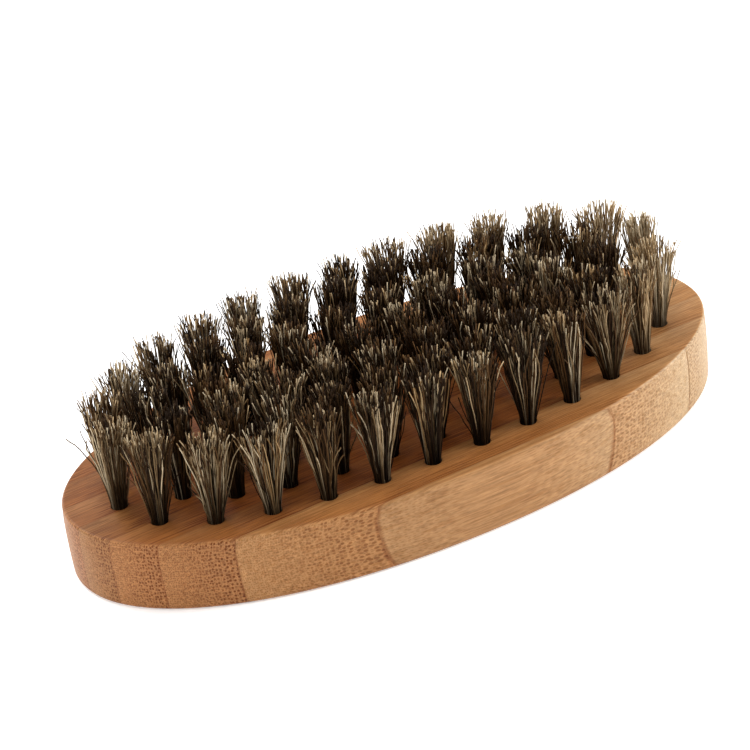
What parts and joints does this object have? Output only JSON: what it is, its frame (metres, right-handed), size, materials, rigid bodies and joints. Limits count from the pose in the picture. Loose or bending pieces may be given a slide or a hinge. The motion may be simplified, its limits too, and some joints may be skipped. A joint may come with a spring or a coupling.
{
  "type": "beard brush",
  "caption": "Oval palm-held beard brush: a laminated bamboo back, flat underneath, with flaring tufts of boar bristle set in blind holes in nested ovals.",
  "frame": {"origin": "centre of the bamboo back's flat underside, which the brush rests on with its bristles up", "axes": "+X along the brush's long axis, +Y across it, +Z from the underside through the back to the bristle tips"},
  "size_m": [0.125, 0.0616, 0.0298],
  "materials": {
    "bamboo": "fine-sanded bamboo with a thin clear oil, satin",
    "bristle": "natural boar bristle, black, brown and blond hairs mixed",
    "staple": "bright drawn flat wire, cut to length"
  },
  "bodies": {
    "root": {"bamboo_strip_01": "bamboo", "bamboo_strip_02": "bamboo", "bamboo_strip_03": "bamboo", "bamboo_strip_04": "bamboo", "bamboo_strip_05": "bamboo", "bamboo_strip_06": "bamboo", "bamboo_strip_07": "bamboo", "bamboo_strip_08": "bamboo", "bamboo_strip_09": "bamboo", "bamboo_strip_10": "bamboo", "inner_tufts_left": "bristle", "inner_tufts_right": "bristle", "outer_tuft_01": "bristle", "outer_tuft_02": "bristle", "outer_tuft_03": "bristle", "outer_tuft_04": "bristle", "outer_tuft_05": "bristle", "outer_tuft_06": "bristle", "outer_tuft_07": "bristle", "outer_tuft_08": "bristle", "outer_tuft_09": "bristle", "outer_tuft_10": "bristle", "outer_tuft_11": "bristle", "outer_tuft_12": "bristle", "outer_tuft_13": "bristle", "outer_tuft_14": "bristle", "outer_tuft_15": "bristle", "outer_tuft_16": "bristle", "outer_tuft_17": "bristle", "outer_tuft_18": "bristle", "outer_tuft_19": "bristle", "outer_tuft_20": "bristle", "outer_tuft_21": "bristle", "outer_tuft_22": "bristle", "outer_tuft_23": "bristle", "outer_tuft_24": "bristle", "outer_tuft_25": "bristle", "outer_tuft_26": "bristle", "second_tuft_01": "bristle", "second_tuft_02": "bristle", "second_tuft_03": "bristle", "second_tuft_04": "bristle", "second_tuft_05": "bristle", "second_tuft_06": "bristle", "second_tuft_07": "bristle", "second_tuft_08": "bristle", "second_tuft_09": "bristle", "second_tuft_10": "bristle", "second_tuft_11": "bristle", "second_tuft_12": "bristle", "second_tuft_13": "bristle", "second_tuft_14": "bristle", "second_tuft_15": "bristle", "second_tuft_16": "bristle", "second_tuft_17": "bristle", "second_tuft_18": "bristle", "second_tuft_19": "bristle", "second_tuft_20": "bristle", "second_tuft_21": "bristle", "second_tuft_22": "bristle"}
  },
  "joints": []
}
